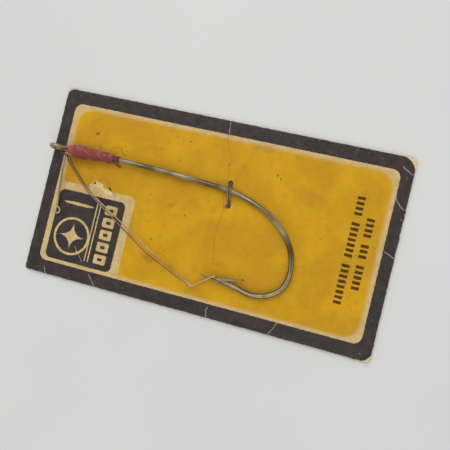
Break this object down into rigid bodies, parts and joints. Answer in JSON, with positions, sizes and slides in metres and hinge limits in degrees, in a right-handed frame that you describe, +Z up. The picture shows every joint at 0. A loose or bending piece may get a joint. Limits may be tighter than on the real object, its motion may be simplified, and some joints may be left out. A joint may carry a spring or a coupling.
{
  "type": "weedless worm hook on a retail card",
  "caption": "Long-shank round-bend fishing hook with a latched double-wire weed guard, a bait keeper wire and a thread whipping, tied with wire to a flat printed backing card.",
  "frame": {"origin": "centre of the card's back face, which is also the middle of the bounding box's underside", "axes": "+X along the card's long side, away from the hook's eye; +Y towards the card's top edge; +Z up out of the printed face"},
  "size_m": [0.092, 0.0502, 0.0048],
  "materials": {
    "board": "matt grey-brown pulp board with worn, fuzzy edges",
    "print": "aged semi-matt print: yellow ochre field, cream keyline and charcoal border, stained and creased",
    "hook_wire": "tarnished bronze-coloured hook wire, satin",
    "guard_wire": "thin bronze-coloured spring wire, satin",
    "keeper_wire": "pale spring wire, satin, slightly rusted",
    "thread": "dusty rose-red wound thread, faded on top",
    "thread_dark": "dark maroon wound thread, lightly varnished",
    "tie_steel": "dull blue-grey soft iron wire"
  },
  "bodies": {
    "carded_hook": {"card_board": "board", "card_paper": "print", "hook": "hook_wire", "guard_root": "guard_wire", "keeper_root": "keeper_wire", "thread_whipping": "thread", "thread_finish": "thread_dark", "tie_wire": "tie_steel"},
    "weed_guard": {"guard_arm": "guard_wire"},
    "bait_keeper": {"keeper_arm": "keeper_wire"}
  },
  "joints": [
    {"name": "guard_swing", "type": "hinge", "parent": "carded_hook", "child": "weed_guard", "pos_m": [-0.04012, 0.00655, 0.0028], "axis": [0, 0, 1], "range_deg": [0, 20], "stiffness_Nm_per_rad": 0.015, "springref_deg": -8.59},
    {"name": "keeper_swing", "type": "hinge", "parent": "carded_hook", "child": "bait_keeper", "pos_m": [-0.04133, 0.00671, 0.00283], "axis": [0, 0, 1], "range_deg": [-15, 15], "stiffness_Nm_per_rad": 0.02}
  ]
}
